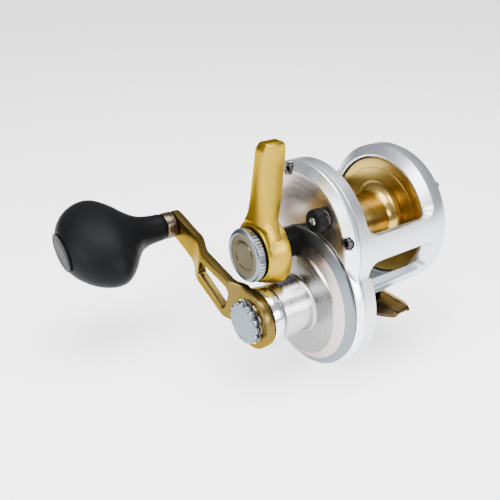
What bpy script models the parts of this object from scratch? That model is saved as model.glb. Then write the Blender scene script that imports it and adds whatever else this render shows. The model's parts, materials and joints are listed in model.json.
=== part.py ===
"""Lever-drag trolling reel, right-hand crank.

The spool turns about X, the crank side is +X, +Y points to the rod tip and +Z is up.
The world origin is the middle of the flat underside of the rod foot.
All driving sizes are in millimetres and are turned into metres when a mesh is made.
"""
import math

import bmesh
import bpy
from mathutils import Matrix, Vector

MM = 0.001

# --- layout of the two main shafts -------------------------------------------------
AXIS_HEIGHT = 41.2          # spool axis above the flat underside of the rod foot
FOOT_X = -12.0              # middle of the foot, measured along X from the middle of the spool
GEAR_CENTRES = 30.0         # distance from the spool axis to the crank axis
GEAR_ANGLE = -75.0          # direction of the crank axis seen from the spool axis
SPOOL_AXIS = (0.0, AXIS_HEIGHT)
CRANK_AXIS = (GEAR_CENTRES * math.cos(math.radians(GEAR_ANGLE)),
              AXIS_HEIGHT + GEAR_CENTRES * math.sin(math.radians(GEAR_ANGLE)))

# --- frame ------------------------------------------------------------------------
RING_R = 36.0               # outside radius of the left end ring
RIGHT_R = 37.2              # outside radius of the right end ring, on the crank side
RING_OUT = 27.8             # outer face of an end ring
RING_IN = 21.7              # spool side edge of an end ring
LIP_X = 18.8                # inner lip that shrouds the spool flange
LIP_R = 31.2
BORE_R = 30.3
BAR_IN_R = 32.5             # inside radius of the cross bars
LOBE_R = 35.4               # gear housing
LOBE_RISE = 2.8             # its centre stands this much above the crank axis
LOBE_AXIS = (CRANK_AXIS[0], CRANK_AXIS[1] + LOBE_RISE)
NECK_R = 9.0                # fillet between ring and gear housing
GEARBOX_X = 24.0            # floor of the gearbox in the frame
GEARBOX_R = 30.0
BAR_TOP = 17.5              # the front cross bar, degrees above the horizontal
BAR_LOW = -2.0
SILL_TOP = -28.0            # the bottom cross bar starts here
WINDOW_ROUND = 6.0
WINDOW_LAND = 0.4           # strip of tube left between a window and the ring's slope

# --- side plate and gear cover ------------------------------------------------------
PLATE_IN = 28.1
PLATE_EDGE = 30.2
PLATE_FACE = 32.6
PLATE_CHAMFER = 4.6
PLATE_WALL = 2.2
COVER_R = 34.3
COVER_IN = 32.9
COVER_FACE = 38.3
BOSS_R = 13.2
BOSS_END = 54.6
NECK_OUT_R = 7.0
NECK_END = 48.2

# --- shafts, gears -------------------------------------------------------------------
SHAFT_R = 2.4
SHAFT_BORE_R = 2.7
CRANK_R = 4.0
CRANK_BORE_R = 4.3
MODULE = 1.0
PINION_TEETH = 9
GEAR_TEETH = 51
RATCHET_TEETH = 12
PAWL_LIFT = 16.0            # degrees the pawl swings between free and locked
GEAR_PHASE = math.radians(GEAR_ANGLE + 180.0)       # a gear tooth points at the pinion
PINION_PHASE = math.radians(GEAR_ANGLE) + math.pi / PINION_TEETH    # and meets a pinion gap

# --- spool ------------------------------------------------------------------------
FLANGE_R = 29.6
FLANGE_X = 21.2
ARBOR_R = 12.5

# --- crank -------------------------------------------------------------------------
ARM_LENGTH = 75.0
ARM_ANGLE = 163.0
ARM_IN = 61.5               # inner face at the crank axis
ARM_RISE = 3.2              # the middle stands this much further out, to pass over the preset knob
ARM_END = -1.3              # and the knob end this much nearer the reel
ARM_THICK = 4.5
KNOB_X = 64.7               # outer face of the arm at the knob
KNOB_AXIS = (CRANK_AXIS[0] + ARM_LENGTH * math.cos(math.radians(ARM_ANGLE)),
             CRANK_AXIS[1] + ARM_LENGTH * math.sin(math.radians(ARM_ANGLE)))

KNOB_TILT = 158.0           # direction of the knob's long axis, degrees from +Y

# --- lever -------------------------------------------------------------------------
HUB_BACK = 48.7
HUB_FRONT = 59.2
BLADE_FRONT = 59.4
BUTTON_AT = (23.4, 44.5)    # strike button: distance and direction from the spool axis

CLICK_TEETH = 12
CLICK_TRAVEL = 2.0          # the clicker moves this far towards the spool axis

FINE = 42
ROUND = 32
SMALL = 18

# name: base colour, metallic, roughness
PALETTE = {
    "silver_anodised": ((0.74, 0.77, 0.80), 0.9, 0.38),
    "plate_polished": ((0.72, 0.70, 0.69), 0.95, 0.28),
    "cover_turned": ((0.66, 0.67, 0.68), 0.95, 0.32),
    "spool_gold": ((0.78, 0.52, 0.16), 0.95, 0.24),
    "lever_gold": ((0.72, 0.56, 0.24), 0.9, 0.36),
    "arm_gold": ((0.50, 0.38, 0.17), 0.9, 0.40),
    "chromed": ((0.78, 0.80, 0.82), 1.0, 0.14),
    "steel": ((0.56, 0.57, 0.58), 1.0, 0.30),
    "dark_steel": ((0.20, 0.18, 0.16), 0.95, 0.25),
    "brass": ((0.62, 0.47, 0.20), 0.95, 0.32),
    "carbon": ((0.05, 0.05, 0.055), 0.0, 0.55),
    "black_plastic": ((0.03, 0.03, 0.032), 0.0, 0.42),
    "grip_rubber": ((0.045, 0.046, 0.05), 0.0, 0.62),
    "spring_steel": ((0.60, 0.60, 0.58), 1.0, 0.30),
}


def clear_scene():
    for item in list(bpy.data.objects):
        bpy.data.objects.remove(item, do_unlink=True)


def material(slot):
    found = bpy.data.materials.get(slot)
    if found:
        return found
    colour, metallic, roughness = PALETTE[slot]
    made = bpy.data.materials.new(slot)
    made.use_nodes = True
    shader = made.node_tree.nodes["Principled BSDF"]
    shader.inputs["Base Color"].default_value = (*colour, 1.0)
    shader.inputs["Metallic"].default_value = metallic
    shader.inputs["Roughness"].default_value = roughness
    return made


def finish(name, bm, slot, centre=(0.0, 0.0), shade=True):
    """Turn a bmesh in millimetres, drawn about centre, into a named object."""
    bmesh.ops.recalc_face_normals(bm, faces=bm.faces)
    for vertex in bm.verts:
        vertex.co *= MM
    mesh = bpy.data.meshes.new(name)
    bm.to_mesh(mesh)
    bm.free()
    if shade:
        mesh.shade_smooth()
        mesh.set_sharp_from_angle(angle=math.radians(32))
    made = bpy.data.objects.new(name, mesh)
    made.location = (-FOOT_X * MM, centre[0] * MM, centre[1] * MM)
    bpy.context.collection.objects.link(made)
    if slot:
        mesh.materials.append(material(slot))
    else:
        made.hide_render = True
        made.display_type = "WIRE"
    return made


def loft(name, rings, slot, centre=(0.0, 0.0), closed=False, shade=True, split=False):
    """Skin rings of equal point count; a ring with one point is a pole.

    split cuts the skin into triangles, for rings that aren't parallel copies.
    """
    bm = bmesh.new()
    loops = [[bm.verts.new(Vector(point)) for point in ring] for ring in rings]
    pairs = list(zip(loops, loops[1:]))
    if closed:
        pairs.append((loops[-1], loops[0]))
    for first, second in pairs:
        count = max(len(first), len(second))
        for i in range(count):
            j = (i + 1) % count
            corners = [first[i % len(first)], first[j % len(first)],
                       second[j % len(second)], second[i % len(second)]]
            unique = []
            for corner in corners:
                if corner not in unique:
                    unique.append(corner)
            bm.faces.new(unique)
    if not closed:
        for loop in (loops[0], loops[-1]):
            if len(loop) > 2:
                bm.faces.new(loop)
    if split:
        bmesh.ops.triangulate(bm, faces=[face for face in bm.faces if len(face.verts) == 4])
    return finish(name, bm, slot, centre, shade)


def circle(x, radius, count, phase=0.0):
    if radius < 1e-6:
        return [(x, 0.0, 0.0)]
    step = 2.0 * math.pi / count
    return [(x, radius * math.cos(phase + i * step), radius * math.sin(phase + i * step))
            for i in range(count)]


def lathe(name, profile, slot, centre, count=ROUND):
    """Turn a closed (x, radius) profile about the line through centre along X."""
    touches_axis = any(radius < 1e-6 for _, radius in profile)
    rings = [circle(x, radius, count) for x, radius in profile]
    return loft(name, rings, slot, centre, closed=not touches_axis)


def prism(name, outline, x_low, x_high, slot, centre=(0.0, 0.0), shade=True):
    rings = [[(x, y, z) for y, z in outline] for x in (x_low, x_high)]
    return loft(name, rings, slot, centre, shade=shade)


def boolean(target, tool, operation="DIFFERENCE"):
    change = target.modifiers.new(operation.lower(), "BOOLEAN")
    change.operation = operation
    change.solver = "EXACT"
    change.object = tool
    tool.hide_render = True
    tool.display_type = "WIRE"
    return change


def drill(target, name, x_low, x_high, radius, centre, count=SMALL):
    """Cut a round hole along X."""
    tool = lathe(name, [(x_low, 0.0), (x_low, radius), (x_high, radius), (x_high, 0.0)],
                 None, centre, count)
    boolean(target, tool)


def counterbore(target, name, stops, hole_r, seat_r, centre):
    """Cut a stepped screw hole; stops are the hole's end, the seat and the open side."""
    end, seat, mouth = stops
    profile = [(end, 0.0), (end, hole_r), (seat, hole_r), (seat, seat_r), (mouth, seat_r), (mouth, 0.0)]
    boolean(target, lathe(name, profile, None, centre, 14))


def polar(radius, degrees, centre=(0.0, 0.0)):
    angle = math.radians(degrees)
    return (centre[0] + radius * math.cos(angle), centre[1] + radius * math.sin(angle))


def arc(centre, radius, start, end, steps):
    return [polar(radius, start + (end - start) * i / steps, centre) for i in range(steps + 1)]


def snowman(ring_r, lobe_r, neck_r, steps=9):
    """Outline of the ring and the gear housing, joined by a concave fillet each side.

    Points are relative to the spool axis, counter-clockwise seen from +X.
    """
    lobe = Vector((LOBE_AXIS[0] - SPOOL_AXIS[0], LOBE_AXIS[1] - SPOOL_AXIS[1]))
    span = lobe.length
    along = math.degrees(math.atan2(lobe.y, lobe.x))
    near, far = ring_r + neck_r, lobe_r + neck_r
    reach = (near * near - far * far + span * span) / (2.0 * span)
    turn = math.degrees(math.acos(reach / near))
    points = []
    front = along + turn
    rear = along - turn + 360.0
    points += arc((0.0, 0.0), ring_r, front, rear, 4 * steps)
    for side, ang, outward in ((-1, rear, False), (1, front, True)):
        mid = Vector(polar(near, ang))
        to_ring = math.degrees(math.atan2(-mid.y, -mid.x))
        to_lobe = math.degrees(math.atan2(lobe.y - mid.y, lobe.x - mid.x))
        swing = (to_lobe - to_ring + 180.0) % 360.0 - 180.0
        fillet = arc((mid.x, mid.y), neck_r, to_ring, to_ring + swing, 5)
        lobe_angle = math.degrees(math.atan2(mid.y - lobe.y, mid.x - lobe.x))
        if not outward:
            points += fillet[1:-1]
            start = lobe_angle
            first = fillet
        else:
            end = lobe_angle
            last = fillet
    while end < start:
        end += 360.0
    points += arc((lobe.x, lobe.y), lobe_r, start, end, 4 * steps)
    points += list(reversed(last))[1:-1]
    return points


def window_tool(name, start, end, half_in, half_out, low_r, high_r, corner, steps):
    """Loft that removes a rounded window from the frame tube between two angles."""
    rings = []
    length = math.radians(end - start) * high_r
    stops = [corner * s for s in (0.0, 0.08, 0.3, 0.6, 1.0)]
    distances = stops + [corner + (length - 2 * corner) * i / steps for i in range(1, steps)]
    distances += [length - s for s in reversed(stops)]
    for distance in distances:
        from_end = min(distance, length - distance)
        inset = 0.0
        if from_end < corner:
            inset = corner - math.sqrt(corner ** 2 - (corner - from_end) ** 2)
        angle = start + math.degrees(distance / high_r)
        ring = []
        for x, radius in ((-half_in + inset, low_r), (half_in - inset, low_r),
                          (half_out - inset, high_r), (-half_out + inset, high_r)):
            y, z = polar(radius, angle)
            ring.append((x, y, z))
        rings.append(ring)
    return loft(name, rings, None, SPOOL_AXIS)


def gear_outline(teeth, radius, addendum, dedendum, tip, root, phase):
    """Straight-sided teeth; tip and root are half widths as a share of one pitch."""
    points = []
    pitch = 2.0 * math.pi / teeth
    for i in range(teeth):
        middle = phase + i * pitch
        for offset, reach in ((-root, -dedendum), (-tip, addendum), (tip, addendum), (root, -dedendum)):
            angle = middle + offset * pitch
            points.append(((radius + reach) * math.cos(angle), (radius + reach) * math.sin(angle)))
    return points


def ring_between(name, outline, inner_r, x_low, x_high, slot, centre, phase=0.0):
    """A prism with a toothed outside and a round bore, skinned without booleans."""
    count = len(outline)
    rings = [[(x_low, y, z) for y, z in outline], [(x_high, y, z) for y, z in outline]]
    angles = [math.atan2(z, y) for y, z in outline]
    for x in (x_high, x_low):
        rings.append([(x, inner_r * math.cos(a), inner_r * math.sin(a)) for a in angles])
    assert count == len(rings[-1])
    return loft(name, rings, slot, centre, closed=True, shade=False)


def screw(name, x_face, head_r, head_h, shank_r, shank, centre, slot, side=1, count=14):
    """Cap screw with a round socket; side is +1 when the head faces +X."""
    socket = 0.45 * head_r
    profile = [(0.0, 0.0), (0.0, shank_r), (shank, shank_r), (shank, head_r),
               (shank + head_h - 0.3, head_r), (shank + head_h, head_r - 0.3),
               (shank + head_h, socket), (shank + 0.4 * head_h, socket), (shank + 0.4 * head_h, 0.0)]
    placed = [(x_face + side * (x - shank), r) for x, r in profile]
    return lathe(name, placed, slot, centre, count)


def bearing(name, x_low, x_high, bore, outer, centre):
    """Sealed ball bearing drawn as one plain ring."""
    profile = [(x_low, bore), (x_low, outer), (x_high, outer), (x_high, bore)]
    return lathe(name, profile, "steel", centre, 24)


def build_frame():
    bar_x = LIP_X + (BAR_IN_R - LIP_R) * (RING_IN - LIP_X) / (RING_R - LIP_R)
    tube = [(-RING_OUT, BORE_R), (-RING_OUT, RING_R - 1.0), (-RING_OUT + 1.0, RING_R),
            (-RING_IN, RING_R), (RING_IN - 0.1, RIGHT_R), (RING_IN - 0.05, RIGHT_R - 0.6),
            (RING_OUT - 0.5, RIGHT_R - 0.6),
            (RING_OUT - 0.5, BORE_R), (LIP_X, BORE_R), (LIP_X, LIP_R), (bar_x, BAR_IN_R),
            (-bar_x, BAR_IN_R), (-LIP_X, LIP_R), (-LIP_X, BORE_R)]
    frame = lathe("frame", tube, "silver_anodised", SPOOL_AXIS, FINE)
    housing = prism("tool_housing", snowman(RIGHT_R + 0.1, LOBE_R, NECK_R), RING_IN - 0.3, RING_OUT,
                    None, SPOOL_AXIS)
    drill(housing, "tool_housing_bore", RING_IN - 1.0, RING_OUT + 1.0, 33.2, SPOOL_AXIS, FINE)
    boolean(frame, housing, "UNION")
    pad = prism("tool_pad", [(-13.0, -36.9), (13.0, -36.9), (11.0, -33.6), (-11.0, -33.6)],
                -17.0, -7.0, None, SPOOL_AXIS)
    boolean(frame, pad, "UNION")
    drill(frame, "tool_gearbox", GEARBOX_X, RING_OUT + 2.0, GEARBOX_R, LOBE_AXIS, FINE)
    outer_r = RIGHT_R + 1.2
    inner_r = BAR_IN_R - 0.6
    slope = (RING_IN - LIP_X) / (RING_R - LIP_R)
    half_in = LIP_X + (inner_r - LIP_R) * slope - WINDOW_LAND
    half_out = LIP_X + (outer_r - LIP_R) * slope - WINDOW_LAND
    spans = {"tool_window_top": (BAR_TOP, 180.0 - BAR_TOP, 14),
             "tool_window_front": (SILL_TOP, BAR_LOW, 3),
             "tool_window_rear": (180.0 - BAR_LOW, 180.0 - SILL_TOP, 3)}
    for name, (start, end, steps) in spans.items():
        tool = window_tool(name, start, end, half_in, half_out, inner_r, outer_r, WINDOW_ROUND, steps)
        boolean(frame, tool)
    return frame


def build_left_side():
    """Domed left plate with the blind bore that carries the spool shaft."""
    profile = [(-33.6, 0.0), (-33.6, 14.0), (-32.6, 22.0), (-31.4, 31.0), (-29.6, 34.4), (-28.1, 35.2),
               (-28.1, 29.8), (-26.6, 29.8), (-26.6, 28.2), (-30.4, 28.2), (-31.2, 7.0), (-26.0, 7.0),
               (-23.6, 6.0), (-23.6, SHAFT_BORE_R), (-30.0, SHAFT_BORE_R), (-30.0, 0.0)]
    plate = lathe("left_side_plate", profile, "silver_anodised", SPOOL_AXIS, FINE)
    slot = prism("tool_click_slot", [(-2.0, 10.6), (2.0, 10.6), (2.0, 17.0), (-2.0, 17.0)],
                 -35.0, -29.0, None, SPOOL_AXIS)
    boolean(plate, slot)
    for i, angle in enumerate((40.0, 140.0, 260.0)):
        spot = polar(32.2, angle, SPOOL_AXIS)
        counterbore(plate, f"tool_left_seat_{i}", (-26.0, -29.9, -34.0), 1.6, 2.5, spot)
        screw(f"left_plate_screw_{i + 1}", -30.2, 2.1, 1.4, 1.3, 1.8, spot, "steel", side=-1)
    return plate


def build_right_side():
    outline = snowman(RIGHT_R, LOBE_R, NECK_R)
    inset = snowman(RIGHT_R - PLATE_CHAMFER, LOBE_R - 0.9, NECK_R + 2.4)
    rings = [[(PLATE_IN, y, z) for y, z in outline], [(PLATE_EDGE, y, z) for y, z in outline],
             [(PLATE_FACE, y, z) for y, z in inset]]
    plate = loft("right_side_plate", rings, "plate_polished", SPOOL_AXIS, split=True)
    floor = PLATE_FACE - PLATE_WALL
    pocket = prism("tool_plate_pocket", snowman(27.6, GEARBOX_R, NECK_R), PLATE_IN - 1.0, floor,
                   None, SPOOL_AXIS)
    boolean(plate, pocket)
    drill(plate, "tool_plate_pinion", floor - 1.0, PLATE_FACE + 1.0, 7.3, SPOOL_AXIS)
    drill(plate, "tool_plate_crank", floor - 1.0, PLATE_FACE + 1.0, 8.0, CRANK_AXIS, ROUND)
    for i, angle in enumerate((17.0, 106.0, 180.0)):
        spot = polar(33.6, angle, SPOOL_AXIS)
        counterbore(plate, f"tool_notch_{i}", (27.0, 30.3, 34.0), 1.8, 3.0, spot)
        screw(f"side_plate_screw_{i + 1}", 30.6, 2.5, 1.9, 1.5, 2.2, spot, "dark_steel")
    button = polar(BUTTON_AT[0], BUTTON_AT[1], SPOOL_AXIS)
    drill(plate, "tool_button_hole", 29.0, 34.0, 2.9, button)
    return plate


def build_gear_cover():
    """Round cover whose rim is centred on the housing and whose boss is centred on the crank."""
    profile = [(COVER_IN, 23.0, 0.0), (COVER_IN, COVER_R, 1.0), (COVER_IN + 0.9, COVER_R, 1.0),
               (35.6, 30.4, 0.7), (37.4, 26.2, 0.3), (COVER_FACE, 25.4, 0.2), (COVER_FACE, 14.6, 0.0),
               (COVER_FACE + 0.5, 13.5, 0.0), (COVER_FACE + 1.6, BOSS_R, 0.0),
               (BOSS_END - 0.6, BOSS_R, 0.0), (BOSS_END, BOSS_R - 0.6, 0.0), (BOSS_END, 8.2, 0.0),
               (49.4, 8.2, 0.0), (49.4, 5.2, 0.0), (36.0, 5.2, 0.0), (36.0, 23.0, 0.0)]
    rings = []
    for x, radius, share in profile:
        ring = circle(x, radius, FINE)
        rings.append([(px, y, z + share * LOBE_RISE) for px, y, z in ring])
    cover = loft("gear_cover", rings, "cover_turned", CRANK_AXIS, closed=True)
    neck = lathe("tool_neck", [(33.3, 0.0), (33.3, NECK_OUT_R), (NECK_END, NECK_OUT_R), (NECK_END, 0.0)],
                 None, SPOOL_AXIS, 32)
    boolean(cover, neck, "UNION")
    drill(cover, "tool_neck_bore", 32.0, 50.0, SHAFT_BORE_R, SPOOL_AXIS)
    return cover


def build_foot():
    """Stamped rod foot: flat down its middle, cupped at the sides, tapered at both ends."""
    centre_x = FOOT_X
    half_length = 30.0
    thick = 1.8
    base_z = -AXIS_HEIGHT
    across = [(-10.5, -2.3), (-8.0, -1.2), (-5.0, -0.25), (-4.0, 0.0),
              (4.0, 0.0), (5.0, -0.25), (8.0, -1.2), (10.5, -2.3)]
    stations = [(-half_length, 0.50), (-half_length + 9.0, 0.96), (-14.0, 1.0), (14.0, 1.0),
                (half_length - 9.0, 0.96), (half_length, 0.50)]
    rings = []
    for y, share in stations:
        lower = []
        upper = []
        for x, drop in across:
            width = x * share if abs(x) > 4.0 else x
            sag = drop * share
            lower.append((centre_x + width, y, base_z + sag))
            upper.append((centre_x + width, y, base_z + sag + thick))
        rings.append(lower + list(reversed(upper)))
    foot = loft("rod_foot", rings, "dark_steel", SPOOL_AXIS, shade=False)
    for i, y in enumerate((-8.0, 8.0)):
        tool = vertical_lathe(f"tool_foot_hole_{i}", [(-44.0, 2.0), (-38.0, 2.0)], None, centre_x, y)
        boolean(foot, tool)
        name = ("foot_screw_rear", "foot_screw_front")[i]
        vertical_lathe(name, [(-38.7, 1.7), (-39.1, 1.7), (-41.1, 1.7)], "dark_steel", centre_x, y)
    riser = vertical_block("foot_riser", (centre_x - 4.6, centre_x + 4.6), (-11.0, 11.0), (-39.1, -37.2))
    for i, y in enumerate((-8.0, 8.0)):
        tool = vertical_lathe(f"tool_riser_hole_{i}", [(-39.3, 2.0), (-38.4, 2.0)], None, centre_x, y)
        boolean(riser, tool)
    return foot


def vertical_lathe(name, profile, slot, x, y, count=16):
    """A round piece about a vertical line; profile is (z, radius) from the spool axis."""
    rings = [[(x + r * math.cos(a), y + r * math.sin(a), z)
              for a in (2 * math.pi * i / count for i in range(count))] for z, r in profile]
    return loft(name, rings, slot, SPOOL_AXIS)


def vertical_block(name, xs, ys, zs, edge=1.0):
    (x0, x1), (y0, y1), (z0, z1) = xs, ys, zs
    outline = [(x0 + edge, y0), (x1 - edge, y0), (x1, y0 + edge), (x1, y1 - edge),
               (x1 - edge, y1), (x0 + edge, y1), (x0, y1 - edge), (x0, y0 + edge)]
    rings = [[(x, y, z) for x, y in outline] for z in (z0, z1)]
    return loft(name, rings, "dark_steel", SPOOL_AXIS, shade=False)


def build_spool():
    """Spool with dished flanges, a deep arbor and a bearing seat at each end."""
    sweep = []
    corner = 6.0
    for i in range(4):
        angle = math.radians(30.0 * i)
        sweep.append((FLANGE_X - 2.4 - corner + corner * math.sin(angle),
                      ARBOR_R + corner - corner * math.cos(angle)))
    right = sweep + [(FLANGE_X - 1.5, FLANGE_R - 0.6), (FLANGE_X - 1.1, FLANGE_R),
                     (FLANGE_X - 0.3, FLANGE_R), (FLANGE_X, FLANGE_R - 0.3)]
    left = [(-x, r) for x, r in reversed(right)]
    seat = 6.6
    inner = [(FLANGE_X, seat), (14.9, seat), (14.9, 3.6), (-17.1, 3.6), (-17.1, seat), (-FLANGE_X, seat)]
    spool = lathe("spool", left + right + inner, "spool_gold", SPOOL_AXIS, FINE)
    bearing("spool_bearing_left", -20.8, -17.4, SHAFT_BORE_R, 6.3, SPOOL_AXIS)
    bearing("spool_bearing_right", 15.2, 18.6, SHAFT_BORE_R, 6.3, SPOOL_AXIS)
    lathe("drag_washer", [(21.9, 10.0), (21.9, 25.0), (22.9, 25.0), (22.9, 10.0)], "carbon", SPOOL_AXIS)
    half_pitch = math.pi / CLICK_TEETH
    wheel = gear_outline(CLICK_TEETH, 10.4, 0.8, 0.8, 0.08, 0.22, half_pitch)
    ring_between("click_wheel", wheel, 7.2, -23.1, -21.5, "brass", SPOOL_AXIS)
    return spool


def build_drag_and_pinion():
    rotor = [(23.4, 3.9), (23.4, 25.6), (24.0, 26.0), (25.0, 26.0), (25.0, 3.9)]
    lathe("drag_rotor", rotor, "steel", SPOOL_AXIS)
    teeth = gear_outline(PINION_TEETH, PINION_TEETH * MODULE / 2, 0.75, 1.0, 0.10, 0.27, PINION_PHASE)
    ring_between("pinion", teeth, SHAFT_BORE_R, 25.4, 29.4, "brass", SPOOL_AXIS)
    sleeve = [(29.5, SHAFT_BORE_R), (29.5, 3.4), (30.6, 3.9), (32.5, 3.9), (32.5, SHAFT_BORE_R)]
    lathe("pinion_sleeve", sleeve, "brass", SPOOL_AXIS, 32)
    bearing("pinion_bearing", 30.6, 32.5, 4.1, 7.0, SPOOL_AXIS)


def build_spool_shaft():
    shaft = [(-28.8, 0.0), (-28.8, SHAFT_R - 0.4), (-28.4, SHAFT_R), (59.9, SHAFT_R),
             (59.9, 2.1), (63.0, 2.1), (63.0, 0.0)]
    lathe("spool_shaft", shaft, "steel", SPOOL_AXIS, SMALL)


def build_crank_train():
    shaft = [(25.4, 0.0), (25.4, CRANK_R - 0.4), (25.8, CRANK_R), (61.2, CRANK_R), (61.2, 3.4),
             (68.6, 3.4), (69.0, 3.0), (69.0, 0.0)]
    lathe("crank_shaft", shaft, "steel", CRANK_AXIS, 32)
    bearing("crank_bearing", 30.6, 32.5, CRANK_BORE_R, 7.7, CRANK_AXIS)
    teeth = gear_outline(GEAR_TEETH, GEAR_TEETH * MODULE / 2, 0.75, 1.0, 0.12, 0.27, GEAR_PHASE)
    ring_between("main_gear", teeth, CRANK_BORE_R, 26.0, 29.0, "brass", CRANK_AXIS)
    wheel = []
    for i in range(RATCHET_TEETH):
        start = 360.0 / RATCHET_TEETH * i
        wheel += [polar(8.2, start), polar(8.4, start + 3.0),
                  polar(10.2, start + 19.0), polar(11.0, start + 29.0)]
    ring_between("ratchet_wheel", wheel, CRANK_BORE_R, 33.3, 35.2, "steel", CRANK_AXIS)
    clutch = [(49.7, 4.3), (49.7, 7.9), (54.2, 7.9), (54.2, 7.2), (53.8, 7.0), (53.8, 5.0),
              (54.2, 4.8), (54.2, 4.3)]
    lathe("one_way_bearing", clutch, "steel", CRANK_AXIS, 32)
    collar = [(55.1, CRANK_BORE_R), (55.1, 13.0), (55.5, 13.6), (60.8, 13.9), (61.2, 13.5),
              (61.2, CRANK_BORE_R)]
    lathe("crank_collar", collar, "chromed", CRANK_AXIS)


def wire(name, path, radius, centre, sides=5):
    """Round spring wire swept along a path of points."""
    rings = []
    for i, point in enumerate(path):
        here = Vector(point)
        before = Vector(path[max(i - 1, 0)])
        after = Vector(path[min(i + 1, len(path) - 1)])
        along = (after - before).normalized()
        steady = Vector((0.0, 0.0, 1.0)) if abs(along.z) < 0.9 else Vector((1.0, 0.0, 0.0))
        across = along.cross(steady).normalized()
        up = along.cross(across)
        rings.append([tuple(here + radius * (math.cos(a) * across + math.sin(a) * up))
                      for a in (2.0 * math.pi * k / sides for k in range(sides))])
    return loft(name, rings, "spring_steel", centre)


def build_pawl():
    """Dog that drops between two ratchet teeth and stops the crank turning backwards.

    It is drawn lifted clear of the teeth by PAWL_LIFT.
    """
    pivot = polar(17.5, 150.0)
    tip = polar(9.5, 124.0)
    along = Vector((tip[0] - pivot[0], tip[1] - pivot[1]))
    length = along.length
    along.rotate(Matrix.Rotation(math.radians(PAWL_LIFT), 2))
    along.normalize()
    across = Vector((-along.y, along.x))
    shape = [(0.0, 2.4), (length - 3.0, 1.5), (length, 0.4), (length, -0.4), (length - 3.0, -1.3),
             (0.0, -2.4), (-1.7, -1.7), (-2.4, 0.0), (-1.7, 1.7)]
    outline = [(along.x * u + across.x * v, along.y * u + across.y * v) for u, v in shape]
    centre = (CRANK_AXIS[0] + pivot[0], CRANK_AXIS[1] + pivot[1])
    dog = prism("anti_reverse_pawl", outline, 33.4, 35.1, "steel", centre)
    drill(dog, "tool_pawl_hole", 33.0, 36.0, 1.3, centre, 14)
    lathe("pawl_pin", [(32.9, 0.0), (32.9, 1.0), (35.7, 1.0), (35.7, 0.0)], "steel", centre, 14)
    turns = 2.5
    steps = 25
    path = []
    for i in range(steps + 1):
        share = i / steps
        y, z = polar(1.4 + 1.2 * share, 360.0 * turns * share)
        path.append((35.42, y, z))
    path.append((35.42, path[-1][1] - 0.4, path[-1][2] + 3.6))
    wire("pawl_spring", path, 0.14, centre)


def build_crank_arm():
    """Forged arm with a long window, raised in the middle so that it passes over the preset knob."""
    edge = 0.7
    end_r, knob_r = 13.8, 6.8
    stations = [(-end_r * math.cos(a), end_r * math.sin(a), 0.0)
                for a in (math.radians(12.0 + 13.0 * i) for i in range(7))]
    stations += [(8.0, 11.9, 0.0), (10.9, 11.6, 0.0), (14.2, 11.2, ARM_RISE), (28.0, 10.0, ARM_RISE),
                 (40.0, 9.3, ARM_RISE), (43.5, 8.8, ARM_RISE), (50.0, 7.8, ARM_END), (60.0, 7.2, ARM_END)]
    stations += [(ARM_LENGTH + knob_r * math.sin(a), knob_r * math.cos(a), ARM_END)
                 for a in (math.radians(15.0 * i) for i in range(6))]
    rings = []
    for u, v, lift in stations:
        low = ARM_IN + lift
        high = low + ARM_THICK
        rings.append([(low, u, -v + edge), (low, u, v - edge), (low + edge, u, v), (high - edge, u, v),
                      (high, u, v - edge), (high, u, -v + edge), (high - edge, u, -v), (low + edge, u, -v)])
    arm = loft("crank_arm", rings, "arm_gold", CRANK_AXIS)
    arm.rotation_euler = (math.radians(ARM_ANGLE), 0.0, 0.0)
    slot = [(16.5, 5.2), (18.5, 5.8), (38.0, 3.6), (40.0, 2.6), (40.6, 0.0), (40.0, -2.6), (38.0, -3.6),
            (18.5, -5.8), (16.5, -5.2), (15.8, 0.0)]
    high = ARM_IN + ARM_RISE + ARM_THICK
    tool = prism("tool_arm_slot", slot, ARM_IN - 2.0, high + 2.0, None, CRANK_AXIS)
    tool.rotation_euler = arm.rotation_euler
    boolean(arm, tool)
    drill(arm, "tool_arm_square", ARM_IN - 2.0, high + 2.0, 3.7, CRANK_AXIS)
    counterbore(arm, "tool_arm_knob", (KNOB_X + 1.0, KNOB_X - 3.0, KNOB_X - 8.0), 3.3, 4.9, KNOB_AXIS)
    return arm


def build_crank_nut():
    top = ARM_IN + ARM_THICK
    plate = []
    for i in range(12):
        plate += [polar(10.6, 30.0 * i), polar(9.6, 30.0 * i + 15.0)]
    ring_between("nut_retainer", plate, 3.7, top + 0.3, top + 1.1, "steel", CRANK_AXIS)
    scallop = []
    for i in range(14):
        pitch = 360.0 / 14
        scallop += [polar(8.7, pitch * i), polar(9.9, pitch * (i + 0.22)), polar(10.0, pitch * (i + 0.5)),
                    polar(9.9, pitch * (i + 0.78))]
    small = [(y * 0.9, z * 0.9) for y, z in scallop]
    rings = [[(top + 1.4, y, z) for y, z in small], [(top + 1.9, y, z) for y, z in scallop],
             [(top + 3.7, y, z) for y, z in scallop], [(top + 4.3, y, z) for y, z in small]]
    nut = loft("crank_nut", rings, "silver_anodised", CRANK_AXIS)
    drill(nut, "tool_nut_bore", top + 1.0, top + 3.3, 3.7, CRANK_AXIS)


def oval(x, long_half, short_half, count=24):
    """Ring of points with its long axis at KNOB_TILT."""
    tilt = math.radians(KNOB_TILT)
    ring = []
    for i in range(count):
        angle = 2.0 * math.pi * i / count
        a, b = long_half * math.cos(angle), short_half * math.sin(angle)
        ring.append((x, a * math.cos(tilt) - b * math.sin(tilt), a * math.sin(tilt) + b * math.cos(tilt)))
    return ring


def build_retainer_screw():
    """Small screw beside the nut that keeps the toothed retainer from turning."""
    spot = (CRANK_AXIS[0] - 11.2, CRANK_AXIS[1] - 4.4)
    head = ARM_IN + ARM_THICK + 0.3
    profile = [(head, 0.0), (head, 1.1), (head + 1.2, 1.1), (head + 1.5, 0.8), (head + 1.5, 0.0)]
    lathe("retainer_screw", profile, "dark_steel", spot, 14)


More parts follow.
